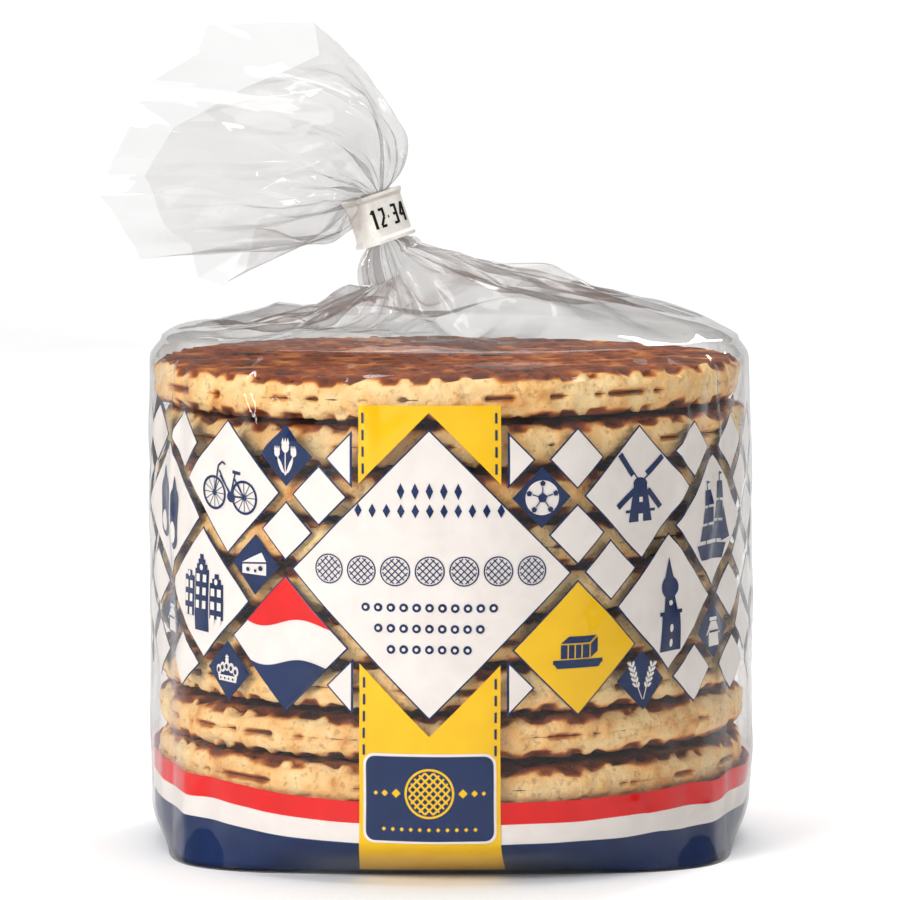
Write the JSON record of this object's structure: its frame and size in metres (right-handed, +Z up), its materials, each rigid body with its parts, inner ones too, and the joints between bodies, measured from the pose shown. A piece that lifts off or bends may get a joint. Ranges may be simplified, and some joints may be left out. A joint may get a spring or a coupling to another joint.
{
  "type": "bag of stroopwafels",
  "caption": "Clear printed film bag holding a stack of round syrup waffles, block-bottomed, gathered at the neck and closed with a folded clip.",
  "frame": {"origin": "the point of the surface it stands on, below the axis of the round stack of waffles", "axes": "+Z up along the stack's axis, the front with the large printed diamond faces -Y, and the gathered end leans to -X"},
  "size_m": [0.1114, 0.1038, 0.1416],
  "materials": {
    "clear_film": "thin clear crackling film, glossy, greyer where it is gathered",
    "clip_strip": "satin off-white plastic strip with rolled lips",
    "waffle_dough": "baked waffle dough, pale crumbly edge, dark brown on its grid",
    "caramel_syrup": "dark caramel syrup between the two waffle halves",
    "print_white": "white printing ink under the film",
    "print_navy": "navy printing ink under the film",
    "print_yellow": "warm yellow printing ink under the film",
    "print_red": "red printing ink under the film",
    "clip_ink": "black ink marks on the clip"
  },
  "bodies": {
    "root": {"film_bag": "clear_film", "closure_clip": "clip_strip"}
  },
  "joints": []
}
